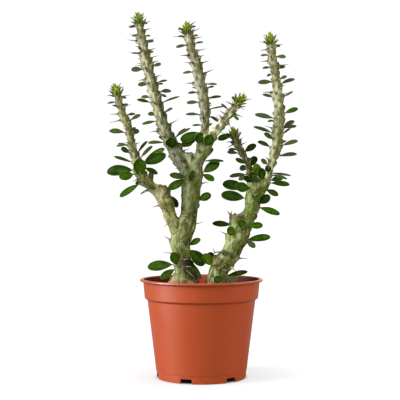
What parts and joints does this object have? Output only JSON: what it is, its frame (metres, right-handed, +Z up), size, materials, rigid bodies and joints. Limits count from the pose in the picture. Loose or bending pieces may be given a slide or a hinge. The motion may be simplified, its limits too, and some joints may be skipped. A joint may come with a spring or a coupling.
{
  "type": "potted madagascar ocotillo",
  "caption": "Upright spiny succulent with grey-green leafy stems that fork from thick trunks, rooted in soil in a round tapered plastic grower's pot standing on its foot ring.",
  "frame": {"origin": "middle of the pot's foot ring, on the surface that the pot stands on", "axes": "+Z up along the pot's axis, -Y towards the viewer of the front, +X to the viewer's right"},
  "size_m": [0.2027, 0.13, 0.3921],
  "materials": {
    "pot_plastic": "satin terracotta-coloured polypropylene",
    "soil": "crumbly dark potting mix",
    "stem_skin": "waxy grey-green skin with pale streaks and brown scars",
    "leaf": "glossy dark green leaf with a pale rim",
    "spine": "dull grey spine with a brown base"
  },
  "bodies": {
    "root": {"pot": "pot_plastic", "soil": "soil", "left_trunk": "stem_skin", "left_branch_low": "stem_skin", "left_branch_tall": "stem_skin", "left_branch_middle": "stem_skin", "left_branch_side": "stem_skin", "right_trunk": "stem_skin", "right_branch_tall": "stem_skin", "right_branch_short": "stem_skin"}
  },
  "joints": []
}
